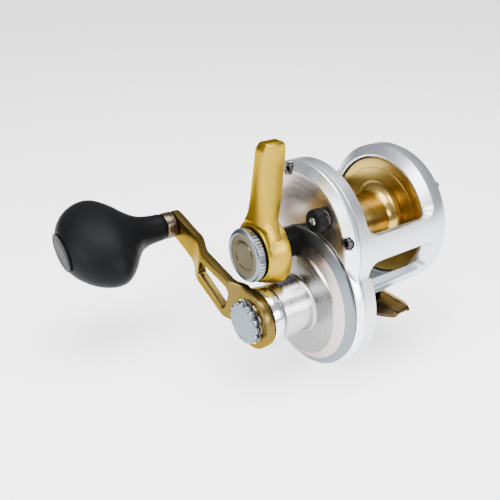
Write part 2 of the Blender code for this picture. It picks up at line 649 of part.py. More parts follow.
def build_knob():
    """Spindle riveted to the arm, a ferrule, and a two-part grip that spins on the spindle."""
    base = KNOB_X
    spindle = [(-4.3, 0.0), (-4.3, 4.6), (-3.3, 4.6), (-3.3, 3.0), (46.0, 3.0), (46.0, 0.0)]
    lathe("knob_spindle", [(base + x, r) for x, r in spindle], "steel", KNOB_AXIS, SMALL)
    ferrule = [(0.4, 3.3), (0.4, 6.4), (1.0, 6.9), (5.6, 6.9), (6.2, 6.4), (6.2, 3.3)]
    lathe("knob_ferrule", [(base + x, r) for x, r in ferrule], "dark_steel", KNOB_AXIS, 28)
    sections = [(6.6, 6.6, 6.6), (10.0, 7.2, 7.0), (16.5, 8.2, 7.7), (22.0, 10.9, 9.2), (26.0, 15.4, 11.0),
                (30.5, 21.4, 13.2), (37.0, 26.8, 15.1), (44.5, 26.8, 15.2), (51.5, 22.8, 13.6),
                (57.0, 16.0, 10.8), (59.2, 12.2, 8.6)]
    rings = [oval(base + x, long_half, short_half) for x, long_half, short_half in sections]
    bore = [oval(base + x, 3.3, 3.3) for x in (48.0, 6.6)]
    tube = [[(base + 48.0, 0.0, 0.0)]] + bore + rings + [[(base + 59.2, 0.0, 0.0)]]
    grip = loft("knob_grip", tube, "grip_rubber", KNOB_AXIS)
    cap = [oval(base + x, 11.6 * share, 7.6 * share)
           for x, share in ((59.5, 1.0), (60.1, 1.0), (60.6, 0.84))]
    loft("knob_end_cap", cap, "black_plastic", KNOB_AXIS)
    return grip


def build_lever():
    hub = [(HUB_BACK, 9.0), (HUB_BACK, 15.6), (HUB_BACK + 0.8, 16.2), (54.0, 15.3),
           (HUB_FRONT - 1.9, 14.2), (HUB_FRONT - 0.5, 13.6), (HUB_FRONT, 13.0), (HUB_FRONT, 12.2),
           (56.6, 12.2), (56.6, 2.8), (52.6, 2.8), (52.6, 9.0)]
    lever = lathe("drag_lever", hub, "lever_gold", SPOOL_AXIS)
    levels = [(12.7, -7.4, 10.2, 51.6), (14.4, -6.6, 9.6, 51.6), (17.6, -4.2, 8.8, 51.2),
              (23.0, -2.6, 8.2, 49.8), (30.0, -1.2, 7.2, 48.0), (37.0, 0.0, 7.0, 47.4),
              (44.0, 1.2, 7.8, 47.4), (49.0, 2.0, 8.4, 47.8), (51.2, 2.6, 8.4, 48.6),
              (52.2, 3.4, 7.8, 49.8)]
    rings = []
    for z, y_rear, y_front, x_back in levels:
        x_front = BLADE_FRONT if z < 50.0 else BLADE_FRONT - 0.6 * (z - 50.0)
        if z < 15.0:
            x_front = HUB_FRONT - 1.0
        chamfer = 0.6
        rings.append([(x_back + chamfer, y_rear, z), (x_front - chamfer, y_rear, z),
                      (x_front, y_rear + chamfer, z), (x_front, y_front - chamfer, z),
                      (x_front - chamfer, y_front, z), (x_back + chamfer, y_front, z),
                      (x_back, y_front - chamfer, z), (x_back, y_rear + chamfer, z)])
    blade = loft("tool_blade", rings, None, SPOOL_AXIS, split=True)
    boolean(lever, blade, "UNION")
    lathe("drag_cam", [(48.5, 2.9), (48.5, 7.8), (52.2, 8.6), (52.2, 2.9)], "steel", SPOOL_AXIS, 32)


def build_preset_knob():
    spacer = [(57.0, 2.8), (57.0, 11.4), (59.7, 11.4), (59.7, 2.8)]
    lathe("preset_washer", spacer, "black_plastic", SPOOL_AXIS, 32)
    rim = []
    ribs = 20
    for i in range(ribs):
        rim += [polar(12.5, 360.0 * i / ribs), polar(12.2, 360.0 * (i + 0.5) / ribs)]
    flat = [(y * 0.93, z * 0.93) for y, z in rim]
    rings = [[(60.0, y, z) for y, z in flat], [(60.6, y, z) for y, z in rim],
             [(63.4, y, z) for y, z in rim], [(64.2, y, z) for y, z in flat],
             [(64.2, y * 0.78, z * 0.78) for y, z in rim], [(63.9, y * 0.76, z * 0.76) for y, z in rim],
             [(63.9, 0.0, 0.0)]]
    centre_hole = [circle(63.4, 2.7, len(rim)), circle(60.0, 2.7, len(rim))]
    knob = loft("preset_knob", [[(63.4, 0.0, 0.0)]] + centre_hole + rings, "silver_anodised", SPOOL_AXIS)
    return knob


def build_strike_button():
    centre = polar(BUTTON_AT[0], BUTTON_AT[1], SPOOL_AXIS)
    stem = [(30.9, 0.0), (30.9, 2.5), (36.4, 2.5), (36.4, 4.3), (34.0, 4.3), (34.0, 5.2), (38.2, 5.2),
            (38.8, 4.7), (38.8, 2.0), (37.8, 2.0), (37.8, 0.0)]
    lathe("strike_button", stem, "black_plastic", centre, 32)
    screw_profile = [(38.1, 0.0), (38.1, 1.7), (38.9, 1.7), (39.1, 1.4), (39.1, 0.7), (38.6, 0.7),
                     (38.6, 0.0)]
    lathe("strike_button_screw", screw_profile, "steel", centre, 14)
    turns = 1.75
    steps = 21
    path = []
    for i in range(steps + 1):
        y, z = polar(3.6, 360.0 * turns * i / steps)
        path.append((32.95 + 1.1 * i / steps, y, z))
    wire("button_spring", path, 0.22, centre)


def build_clicker():
    """Button that slides towards the axis and drops its tongue into the click wheel."""
    rest = 14.8
    centre = (SPOOL_AXIS[0], SPOOL_AXIS[1] + rest)
    button = lathe("click_button", [(-36.6, 0.0), (-36.6, 3.4), (-36.0, 4.0), (-33.9, 4.0), (-33.9, 0.0)],
                   "black_plastic", centre, 24)
    flat_stem = [(-1.6, -1.5), (1.6, -1.5), (1.6, 1.5), (-1.6, 1.5)]
    stem = prism("tool_stem", flat_stem, -34.4, -26.2, None, centre)
    boolean(button, stem, "UNION")
    tongue = [(-1.5, 1.5), (-1.5, -1.2), (-0.4, -3.0), (0.4, -3.0), (1.5, -1.2), (1.5, 1.5)]
    prism("click_tongue", tongue, -23.0, -22.0, "steel", centre)
    post = prism("click_tongue_post", [(-1.2, -0.9), (1.2, -0.9), (1.2, 1.2), (-1.2, 1.2)],
                 -25.9, -23.3, "steel", centre)
    path = []
    turns = 4
    steps = 36
    for i in range(steps + 1):
        angle = 2.0 * math.pi * turns * i / steps
        path.append((-28.4 + 1.1 * math.cos(angle), 1.1 * math.sin(angle), 2.0 + 7.2 * i / steps))
    wire("click_spring", path, 0.2, centre)
    return post


def main():
    clear_scene()
    build_frame()
    build_left_side()
    build_right_side()
    build_gear_cover()
    build_foot()
    build_spool()
    build_drag_and_pinion()
    build_spool_shaft()
    build_crank_train()
    build_pawl()
    build_crank_arm()
    build_crank_nut()
    build_retainer_screw()
    build_knob()
    build_lever()
    build_preset_knob()
    build_strike_button()
    build_clicker()


main()
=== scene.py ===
"""The look of a lever-drag trolling reel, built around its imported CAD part.

Lengths are in millimetres from the middle of the spool: X to the crank side, Y to the rod
tip, Z up. They become metres when a mesh is made.
"""

import json
import math

import bmesh
import bpy
from mathutils import Matrix, Vector


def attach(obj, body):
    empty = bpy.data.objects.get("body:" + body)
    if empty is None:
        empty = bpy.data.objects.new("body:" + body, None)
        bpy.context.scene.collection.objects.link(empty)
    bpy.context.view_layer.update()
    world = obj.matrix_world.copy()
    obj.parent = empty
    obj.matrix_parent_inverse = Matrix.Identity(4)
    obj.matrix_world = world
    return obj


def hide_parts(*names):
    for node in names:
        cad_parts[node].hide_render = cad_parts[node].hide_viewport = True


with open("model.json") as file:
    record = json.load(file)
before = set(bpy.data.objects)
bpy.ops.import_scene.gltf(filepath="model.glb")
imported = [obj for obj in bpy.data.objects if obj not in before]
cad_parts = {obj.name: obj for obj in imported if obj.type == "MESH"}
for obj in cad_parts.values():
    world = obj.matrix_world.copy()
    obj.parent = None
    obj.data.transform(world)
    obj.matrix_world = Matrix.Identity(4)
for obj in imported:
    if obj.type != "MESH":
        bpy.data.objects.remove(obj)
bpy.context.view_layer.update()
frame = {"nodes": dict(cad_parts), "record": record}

MM = 0.001
ORIGIN = (12.0, 0.0, 41.2)      # middle of the spool in the frame's own coordinates


def polar(radius, degrees, centre=(0.0, 0.0)):
    angle = math.radians(degrees)
    return (centre[0] + radius * math.cos(angle), centre[1] + radius * math.sin(angle))


# Places in the (Y, Z) plane that the axes along X pass through.
SPOOL = (0.0, 0.0)
CRANK = polar(30.0, -75.0)
LOBE_LIFT = 2.8                 # the gear housing's middle lies this far above the crank
LOBE = (CRANK[0], CRANK[1] + LOBE_LIFT)
ARM_ANGLE = 163.0
ARM_LENGTH = 75.0
KNOB = polar(ARM_LENGTH, ARM_ANGLE, CRANK)
STRIKE = polar(23.4, 44.5)
CLICKER = (0.0, 14.8)

# Outlines of the frame, the side plate and the gear housing.
RING_R = 36.0
RIGHT_R = 37.2
LOBE_R = 35.4
NECK_R = 9.0
INNER_X = 18.8                  # the right ring's inner face, at INNER_R
INNER_R = 31.2
OUTER_X = 21.7                  # the same face at the rim

# The crank arm: inner face, thickness, and how far the middle and the knob's end are raised.
ARM_IN = 61.5
ARM_THICK = 4.5
ARM_RISE = 3.2
ARM_END = -1.3

KNOB_X = 64.7
KNOB_TILT = 158.0
FOOT_X = -12.0
FLOOR_Z = -0.0225               # metres, just under the gear housing

# Sides of a round piece, by its size.
FINE = 144
ROUND = 96
SMALL = 40


# --- materials --------------------------------------------------------------------
def nodes_of(name):
    made = bpy.data.materials.new(name)
    made.use_nodes = True
    tree = made.node_tree
    return made, tree, tree.nodes["Principled BSDF"]


def add(tree, kind, **values):
    node = tree.nodes.new(kind)
    for key, value in values.items():
        setattr(node, key, value)
    return node


def noise(tree, source, scale, detail, dims="3D"):
    node = add(tree, "ShaderNodeTexNoise", noise_dimensions=dims)
    node.inputs["Scale"].default_value = scale
    node.inputs["Detail"].default_value = detail
    tree.links.new(source, node.inputs["W" if dims == "1D" else "Vector"])
    return node.outputs["Fac"]


def spread(tree, source, low, high, start=0.3, end=0.7):
    node = add(tree, "ShaderNodeMapRange")
    node.inputs["From Min"].default_value = start
    node.inputs["From Max"].default_value = end
    node.inputs["To Min"].default_value = low
    node.inputs["To Max"].default_value = high
    tree.links.new(source, node.inputs["Value"])
    return node.outputs["Result"]


def tint(tree, source, dark, light):
    node = add(tree, "ShaderNodeMix", data_type="RGBA")
    node.inputs["A"].default_value = (*dark, 1.0)
    node.inputs["B"].default_value = (*light, 1.0)
    tree.links.new(source, node.inputs["Factor"])
    return node.outputs["Result"]


def bump(tree, shader, source, strength, distance):
    node = add(tree, "ShaderNodeBump")
    node.inputs["Strength"].default_value = strength
    node.inputs["Distance"].default_value = distance * MM
    tree.links.new(source, node.inputs["Height"])
    tree.links.new(node.outputs["Normal"], shader.inputs["Normal"])


def radius_from_axis(tree, place):
    """Distance from the piece's own X axis, and the place along it."""
    split = add(tree, "ShaderNodeSeparateXYZ")
    flat = add(tree, "ShaderNodeCombineXYZ")
    length = add(tree, "ShaderNodeVectorMath", operation="LENGTH")
    tree.links.new(place, split.inputs["Vector"])
    tree.links.new(split.outputs["Y"], flat.inputs["Y"])
    tree.links.new(split.outputs["Z"], flat.inputs["Z"])
    tree.links.new(flat.outputs["Vector"], length.inputs[0])
    return length.outputs["Value"], split.outputs["X"]


# Noise scales per metre and the bump's depth in millimetres.
RING_SCALE = 3400.0
BAND_SCALE = 420.0
BLAST_SCALE = 5200.0
ROLLED_SCALE = 900.0
METAL_DEPTH = 0.02
# How much of the edge-on reflection is grey, and how much takes the metal's own hue.
EDGE_GREY = 0.25
EDGE_HUE = 0.7


def metal(name, colour, rough, grain, vary=0.06, strength=0.25, anisotropy=0.0):
    """Metal that is blasted, rolled, or turned into rings round the piece's own X axis."""
    made, tree, shader = nodes_of(name)
    place = add(tree, "ShaderNodeTexCoord").outputs["Object"]
    dark = tuple(c * (1.0 - vary) for c in colour)
    light = tuple(min(1.0, c * (1.0 + vary)) for c in colour)
    shader.inputs["Metallic"].default_value = 1.0
    edge = [EDGE_GREY + EDGE_HUE * c / max(colour) for c in colour]
    shader.inputs["Specular Tint"].default_value = (*edge, 1.0)
    if grain == "turned":
        reach, along = radius_from_axis(tree, place)
        total = add(tree, "ShaderNodeMath", operation="ADD")
        tree.links.new(reach, total.inputs[0])
        tree.links.new(along, total.inputs[1])
        rings = noise(tree, total.outputs["Value"], RING_SCALE, 2.0, "1D")
        bands = noise(tree, total.outputs["Value"], BAND_SCALE, 2.0, "1D")
        tree.links.new(tint(tree, spread(tree, bands, 0.0, 1.0), dark, light), shader.inputs["Base Color"])
        tree.links.new(spread(tree, bands, rough * 0.92, rough * 1.1), shader.inputs["Roughness"])
        bump(tree, shader, rings, strength, METAL_DEPTH)
    else:
        cloud = noise(tree, place, 60.0, 4.0)
        fine = noise(tree, place, BLAST_SCALE if grain == "blasted" else ROLLED_SCALE, 2.0)
        tree.links.new(tint(tree, spread(tree, cloud, 0.0, 1.0), dark, light), shader.inputs["Base Color"])
        tree.links.new(spread(tree, cloud, rough * 0.85, rough * 1.2), shader.inputs["Roughness"])
        bump(tree, shader, fine, strength, METAL_DEPTH)
    if anisotropy:
        shader.inputs["Anisotropic"].default_value = anisotropy
        tangent = add(tree, "ShaderNodeTangent", direction_type="RADIAL", axis="X")
        tree.links.new(tangent.outputs["Tangent"], shader.inputs["Tangent"])
    return made


def moulded(name, colour, rough, scale, strength=0.3, depth=0.05, ior=1.45):
    """Plastic or rubber with a fine moulded texture and slight wear."""
    made, tree, shader = nodes_of(name)
    place = add(tree, "ShaderNodeTexCoord").outputs["Object"]
    cloud = noise(tree, place, 45.0, 4.0)
    grain = noise(tree, place, scale, 2.0)
    dark = tuple(c * 0.82 for c in colour)
    light = tuple(min(1.0, c * 1.2) for c in colour)
    tree.links.new(tint(tree, spread(tree, cloud, 0.0, 1.0), dark, light), shader.inputs["Base Color"])
    tree.links.new(spread(tree, cloud, rough * 0.88, rough * 1.1), shader.inputs["Roughness"])
    shader.inputs["IOR"].default_value = ior
    bump(tree, shader, grain, strength, depth)
    return made


# Colour, roughness and grain; then colour variation, bump strength and anisotropy.
METALS = {
    "silver_anodised": ((0.63, 0.665, 0.705), 0.34, "blasted", 0.03, 0.10),
    "nut_silver": ((0.16, 0.185, 0.205), 0.30, "blasted", 0.04, 0.08),
    # The side plate's face is tinted warm as a painted reflection of the gold lever; its chamfer is
    # brighter and bluer as a painted highlight.
    "plate_polished": ((0.62, 0.56, 0.525), 0.22, "turned", 0.03, 0.02, 0.5),
    "plate_chamfer_painted_highlight": ((0.86, 0.90, 0.92), 0.28, "turned", 0.03, 0.03, 0.4),
    # The gear cover's chamfer, face and band have tones that stand in for what each reflects: painted
    # reflections.
    "cover_chamfer_painted_reflection": ((0.16, 0.182, 0.20), 0.28, "turned", 0.04, 0.04, 0.4),
    "cover_turned": ((0.27, 0.265, 0.265), 0.28, "turned", 0.06, 0.05, 0.4),
    "boss": ((0.44, 0.44, 0.44), 0.27, "turned", 0.04, 0.04, 0.4),
    "cover_band_painted_reflection": ((0.46, 0.405, 0.385), 0.24, "turned", 0.04, 0.04, 0.4),
    "spool_gold": ((0.47, 0.32, 0.09), 0.24, "turned", 0.05, 0.04, 0.3),
    "lever_gold": ((0.32, 0.205, 0.019), 0.30, "blasted", 0.04, 0.08),
    "arm_gold": ((0.118, 0.083, 0.024), 0.30, "blasted", 0.06, 0.12),
    "chromed": ((0.68, 0.71, 0.74), 0.15, "turned", 0.03, 0.03, 0.3),
    "steel": ((0.50, 0.51, 0.53), 0.28, "turned", 0.06, 0.12),
    "dark_steel": ((0.055, 0.037, 0.018), 0.22, "rolled", 0.10, 0.10),
    "black_steel": ((0.055, 0.05, 0.047), 0.25, "rolled", 0.10, 0.10),
    # Near-black tone for the preset knob's face: a painted dark reflection.
    "preset_face_painted_reflection": ((0.045, 0.040, 0.028), 0.12, "turned", 0.05, 0.03, 0.3),
    "bronze": ((0.11, 0.085, 0.06), 0.28, "turned", 0.08, 0.10),
    "brass": ((0.62, 0.46, 0.19), 0.30, "turned", 0.06, 0.12),
    "spring_steel": ((0.60, 0.60, 0.58), 0.28, "rolled"),
}
# Colour, roughness and grain scale; then bump strength, bump depth and IOR.
PLASTICS = {
    "carbon": ((0.04, 0.04, 0.045), 0.55, 1500.0),
    "black_plastic": ((0.003, 0.003, 0.0033), 0.40, 2200.0, 0.2, 0.03, 1.16),
    "grip_rubber": ((0.0028, 0.003, 0.0036), 0.50, 3000.0, 0.3, 0.03, 1.17),
}
LOOKS = {name: metal(f"{name}_look", *values) for name, values in METALS.items()}
LOOKS.update({name: moulded(f"{name}_look", *values) for name, values in PLASTICS.items()})


# --- mesh helpers ------------------------------------------------------------------
ON_AXIS = 1e-6                  # a smaller radius counts as a point on the axis
RIB_POINTS = 4                  # points from one rib of a knurl to the next
OUTLINE_STEPS = 104             # along each big arc of the housing's outline
FILLET_STEPS = 8                # along each of its fillets


def finish(name, bm, look, centre, sharp, body="frame", stands_for=()):
    """Turn a bmesh in millimetres into an object; with no look it is a cutting tool."""
    bmesh.ops.recalc_face_normals(bm, faces=bm.faces)
    for vertex in bm.verts:
        vertex.co *= MM
    mesh = bpy.data.meshes.new(name)
    bm.to_mesh(mesh)
    bm.free()
    mesh.shade_smooth()
    mesh.set_sharp_from_angle(angle=math.radians(sharp))
    made = bpy.data.objects.new(name, mesh)
    made.location = (ORIGIN[0] * MM, (ORIGIN[1] + centre[0]) * MM, (ORIGIN[2] + centre[1]) * MM)
    bpy.context.collection.objects.link(made)
    if look is None:
        return made
    mesh.materials.append(LOOKS[look])
    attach(made, body)
    if stands_for:
        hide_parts(*stands_for)
    return made


def loft(name, rings, look=None, centre=SPOOL, closed=False, split=False, sharp=30.0, **facts):
    """Skin rings of equal point count; a ring with one point is a pole.

    Closed joins the last ring to the first; split cuts bent four-sided faces into triangles.
    """
    bm = bmesh.new()
    loops = [[bm.verts.new(Vector(point)) for point in ring] for ring in rings]
    pairs = list(zip(loops, loops[1:]))
    if closed:
        pairs.append((loops[-1], loops[0]))
    for first, second in pairs:
        count = max(len(first), len(second))
        for i in range(count):
            j = (i + 1) % count
            corners = [first[i % len(first)], first[j % len(first)],
                       second[j % len(second)], second[i % len(second)]]
            unique = []
            for corner in corners:
                if corner not in unique:
                    unique.append(corner)
            bm.faces.new(unique)
    if not closed:
        for loop in (loops[0], loops[-1]):
            if len(loop) > 2:
                bm.faces.new(loop)
    if split:
        bmesh.ops.triangulate(bm, faces=[face for face in bm.faces if len(face.verts) == 4])
    return finish(name, bm, look, centre, sharp, **facts)


def circle(x, radius, count):
    """Ring of points round the X axis, or the single point on it."""
    if radius < ON_AXIS:
        return [(x, 0.0, 0.0)]
    step = 2.0 * math.pi / count
    return [(x, radius * math.cos(i * step), radius * math.sin(i * step)) for i in range(count)]


def lathe(name, profile, look=None, centre=SPOOL, count=ROUND, **facts):
    """Turn an (x, radius) profile about the line through centre along X.

    A profile that starts and ends on the axis is capped there; any other one is closed on itself.
    """
    on_axis = any(radius < ON_AXIS for _, radius in profile)
    rings = [circle(x, radius, count) for x, radius in profile]
    return loft(name, rings, look, centre, closed=not on_axis, **facts)


def prism(name, outline, x_low, x_high, look=None, centre=SPOOL, **facts):
    rings = [[(x, y, z) for y, z in outline] for x in (x_low, x_high)]
    return loft(name, rings, look, centre, **facts)


def cut(target, tool, operation="DIFFERENCE"):
    """Apply a Boolean at once and drop the tool."""
    change = target.modifiers.new("cut", "BOOLEAN")
    change.operation = operation
    change.solver = "EXACT"
    change.object = tool
    bpy.context.view_layer.update()
    graph = bpy.context.evaluated_depsgraph_get()
    mesh = bpy.data.meshes.new_from_object(target.evaluated_get(graph))
    target.modifiers.clear()
    old = target.data
    target.data = mesh
    bpy.data.meshes.remove(old)
    bpy.data.objects.remove(tool, do_unlink=True)


def resmooth(target, angle=30.0):
    """Shade smooth again after a cut, with edges sharper than the angle kept."""
    target.data.shade_smooth()
    target.data.set_sharp_from_angle(angle=math.radians(angle))


def drill(target, x_low, x_high, radius, centre, count=SMALL):
    profile = [(x_low, 0.0), (x_low, radius), (x_high, radius), (x_high, 0.0)]
    cut(target, lathe("tool", profile, None, centre, count))


def arc(centre, radius, start, end, steps):
    return [polar(radius, start + (end - start) * i / steps, centre) for i in range(steps + 1)]


def rectangle(low_y, high_y, low_z, high_z):
    return [(low_y, low_z), (high_y, low_z), (high_y, high_z), (low_y, high_z)]


def hexagon(radius):
    return [polar(radius, 60.0 * i) for i in range(6)]


def ribbed(x, radius, depth, ribs):
    """Ring with rounded grooves of the given depth between its ribs."""
    count = ribs * RIB_POINTS
    ring = []
    for i in range(count):
        wave = 0.5 - 0.5 * math.cos(2.0 * math.pi * (i % RIB_POINTS) / RIB_POINTS)
        ring.append((x, *polar(radius - depth * wave, 360.0 * i / count)))
    return ring


def snowman(ring_r, lobe_r, neck_r):
    """Outline of the ring and the gear housing, joined by a concave fillet each side."""
    lobe = Vector(LOBE)
    span = lobe.length
    along = math.degrees(math.atan2(lobe.y, lobe.x))
    near, far = ring_r + neck_r, lobe_r + neck_r
    reach = (near * near - far * far + span * span) / (2.0 * span)
    turn = math.degrees(math.acos(reach / near))
    front, rear = along + turn, along - turn + 360.0
    fillets = []
    for angle in (rear, front):
        middle = Vector(polar(near, angle))
        to_ring = math.degrees(math.atan2(-middle.y, -middle.x))
        to_lobe = math.degrees(math.atan2(lobe.y - middle.y, lobe.x - middle.x))
        swing = (to_lobe - to_ring + 180.0) % 360.0 - 180.0
        around = math.degrees(math.atan2(middle.y - lobe.y, middle.x - lobe.x))
        fillets.append((arc(middle, neck_r, to_ring, to_ring + swing, FILLET_STEPS), around))
    start, end = fillets[0][1], fillets[1][1]
    while end < start:
        end += 360.0
    points = arc(SPOOL, ring_r, front, rear, OUTLINE_STEPS)
    points += fillets[0][0][1:-1]
    points += arc(LOBE, lobe_r, start, end, OUTLINE_STEPS)
    points += list(reversed(fillets[1][0]))[1:-1]
    return points


# --- frame ---------------------------------------------------------------------------
def window(start, end, half_in, half_out, low_r, high_r, steps):
    """Cutting tool for a round-cornered window, flared where it meets the outside."""
    corner, flare, end_steps = 6.0, 0.55, 8
    length = math.radians(end - start) * high_r
    middle = 0.5 * (start + end)
    bend = [math.radians(90.0 * i / end_steps) for i in range(end_steps + 1)]
    stops = [corner * (1.0 - math.cos(angle)) for angle in bend]
    distances = stops + [corner + (length - 2 * corner) * i / steps for i in range(1, steps)]
    distances += [length - stop for stop in reversed(stops)]
    edge_r = RING_R + 0.5 - flare
    edge_x = half_in + (half_out - half_in) * (edge_r - low_r) / (high_r - low_r)
    flared_x = half_out + 0.35
    rings = []
    for distance in distances:
        from_end = min(distance, length - distance)
        inset = 0.0
        if from_end < corner:
            inset = corner - math.sqrt(corner ** 2 - (corner - from_end) ** 2)
        angle = start + math.degrees(distance / high_r)
        push = 1.0 - min(1.0, from_end / corner)
        wide = 2.0 * math.degrees(flare / high_r) * push * (1.0 if angle > middle else -1.0)
        ring = []
        for x, radius, extra in ((-half_in, low_r, 0.0), (half_in, low_r, 0.0), (edge_x, edge_r, 0.0),
                                 (flared_x, high_r, wide), (-flared_x, high_r, wide),
                                 (-edge_x, edge_r, 0.0)):
            y, z = polar(radius, angle + extra)
            ring.append((math.copysign(abs(x) - inset, x), y, z))
        rings.append(ring)
    return loft("tool", rings)


def build_frame():
    """Two rings and the bars between them, in one piece with the gear housing."""
    tube = [(-27.8, 30.3), (-27.8, 35.2), (-27.55, 35.75), (-27.0, 36.0), (-21.7, 36.0), (21.6, 37.2),
            (21.65, 36.6), (27.3, 36.6), (27.3, 30.3), (18.8, 30.3), (18.8, 31.2), (19.55, 32.5),
            (-19.55, 32.5), (-18.8, 31.2), (-18.8, 30.3)]
    shell = lathe("frame_shell", tube, "silver_anodised", SPOOL, FINE, stands_for=("frame",))
    rings = []
    for x, shrink in ((21.4, 0.3), (OUTER_X, 0.0), (27.45, 0.0), (27.8, 0.35)):
        outline = snowman(RIGHT_R + 0.1 - shrink, LOBE_R - shrink, NECK_R + shrink)
        rings.append([(x, y, z) for y, z in outline])
    housing = loft("tool", rings)
    drill(housing, 20.0, 29.0, 33.2, SPOOL, FINE)
    cut(shell, housing, "UNION")
    pad = prism("tool", [(-13.0, -36.9), (13.0, -36.9), (11.0, -33.6), (-11.0, -33.6)], -17.0, -7.0)
    cut(shell, pad, "UNION")
    drill(shell, 24.0, 30.0, 30.0, LOBE, FINE)
    slope = (OUTER_X - INNER_X) / (RING_R - INNER_R)
    inner, outer, lip = 31.9, 38.6, 0.4
    half_in = INNER_X + (inner - INNER_R) * slope - lip
    half_out = INNER_X + (outer - INNER_R) * slope - lip
    for start, end, steps in ((17.5, 162.5, 60), (-28.0, -2.0, 10), (182.0, 208.0, 10)):
        cut(shell, window(start, end, half_in, half_out, inner, outer, steps))
    resmooth(shell, 28.0)


def build_side_plate():
    """Polished plate with a chamfer all round, a pocket behind it and three notched screws."""
    rings = []
    for x, ring_r, lobe_r, neck in ((28.1, 36.95, 35.15, 9.2), (28.35, 37.2, 35.4, 9.0),
                                    (29.95, 37.2, 35.4, 9.0), (30.3, 37.0, 35.3, 9.1),
                                    (32.3, 32.95, 34.8, 11.2), (32.55, 32.5, 34.6, 11.4),
                                    (32.6, 32.2, 34.45, 11.6)):
        rings.append([(x, y, z) for y, z in snowman(ring_r, lobe_r, neck)])
    plate = loft("side_plate", rings, "plate_polished", SPOOL, split=True,
                 stands_for=("right_side_plate",))
    pocket = prism("tool", snowman(27.6, 30.0, 9.0), 27.1, 30.4)
    cut(plate, pocket)
    drill(plate, 29.0, 34.0, 7.3, SPOOL)
    drill(plate, 29.0, 34.0, 8.0, CRANK, ROUND)
    for i, angle in enumerate((17.0, 106.0, 180.0)):
        spot = polar(33.6, angle)
        profile = [(27.0, 0.0), (27.0, 1.8), (30.3, 1.8), (30.3, 3.0), (34.5, 3.0), (34.5, 0.0)]
        cut(plate, lathe("tool", profile, None, spot, SMALL))
        out, across = polar(1.0, angle), polar(1.0, angle + 90.0)
        notch = [(out[0] * u + across[0] * w, out[1] * u + across[1] * w)
                 for u, w in rectangle(30.6, 39.0, -3.0, 3.0)]
        cut(plate, prism("tool", notch, 31.1, 34.5))
        cap_screw(f"plate_screw_{i + 1}", 30.6, spot, f"side_plate_screw_{i + 1}")
    drill(plate, 29.0, 34.0, 2.9, STRIKE)
    resmooth(plate, 24.0)
    # Faces that tilt away from straight out take the brighter chamfer look, a painted highlight; the rest
    # keep the warm painted reflection.
    plate.data.materials.append(LOOKS["plate_chamfer_painted_highlight"])
    flat, backward = 0.985, -0.5
    for face in plate.data.polygons:
        if backward < face.normal.x < flat and 28.1 * MM < face.center.x < 32.6 * MM:
            face.material_index = 1


def cap_screw(name, seat, centre, node):
    """Socket head screw with a six-sided recess."""
    profile = [(seat - 2.2, 0.0), (seat - 2.2, 1.5), (seat, 1.5), (seat, 2.45), (seat + 1.45, 2.5),
               (seat + 1.75, 2.4), (seat + 1.9, 2.1), (seat + 1.9, 0.0)]
    made = lathe(name, profile, "black_steel", centre, SMALL, stands_for=(node,))
    cut(made, prism("tool", hexagon(1.3), seat + 0.5, seat + 3.0, None, centre))
    resmooth(made)


def build_gear_cover():
    """Stepped round cover whose rim is centred on the housing and its boss on the crank."""
    # Each point is x, radius, and how far its ring has moved from the crank to the housing.
    rim = [(32.9, 23.0, 0.0), (32.9, 34.1, 1.0), (33.05, 34.3, 1.0), (33.7, 34.3, 1.0),
           (33.95, 34.15, 1.0), (35.5, 30.55, 0.7), (35.62, 30.2, 0.7)]
    band = [(35.7, 29.9, 0.68), (37.3, 26.4, 0.3), (37.45, 26.1, 0.3), (37.9, 25.75, 0.25),
            (38.2, 25.5, 0.2), (38.3, 25.1, 0.2)]
    boss = [(38.3, 15.6, 0.0), (38.36, 14.9, 0.0), (38.6, 14.2, 0.0), (39.1, 13.6, 0.0),
            (39.9, 13.25, 0.0), (53.9, 13.2, 0.0), (54.35, 13.05, 0.0), (54.6, 12.6, 0.0)]
    inside = [(54.6, 8.2, 0.0), (49.4, 8.2, 0.0), (49.4, 5.2, 0.0), (36.0, 5.2, 0.0), (36.0, 23.0, 0.0)]
    rings = [[(px, y, z + share * LOBE_LIFT) for px, y, z in circle(x, r, FINE)]
             for x, r, share in rim + band + boss + inside]
    cover = loft("gear_cover_look", rings, "cover_turned", CRANK, closed=True, stands_for=("gear_cover",))
    # Separate tones per zone of the one polished cover are painted reflections: a darker face, a warm band
    # and a blue-grey chamfer.
    for look in ("cover_band_painted_reflection", "cover_chamfer_painted_reflection", "boss"):
        cover.data.materials.append(LOOKS[look])
    for face in cover.data.polygons:
        x, reach = face.center.x / MM, math.hypot(face.center.y, face.center.z) / MM
        if 35.6 < x < 38.1 and reach > 23.5:
            face.material_index = 1
        elif 33.0 < x <= 35.6 and reach > 27.5:
            face.material_index = 2
        elif x > 38.6:
            face.material_index = 3
    drill(cover, 35.0, 40.0, 7.0, SPOOL)
    resmooth(cover, 24.0)
    # The neck is black as painted shade: it stands for shadowed steel between the cover and the lever hub.
    neck = [(33.3, 2.7), (33.3, 6.9), (38.4, 6.9), (38.6, 7.0), (47.8, 7.0), (48.2, 6.6), (48.2, 2.7)]
    lathe("shaft_neck_painted_shade", neck, "black_plastic", SPOOL, ROUND, stands_for=("gear_cover",))


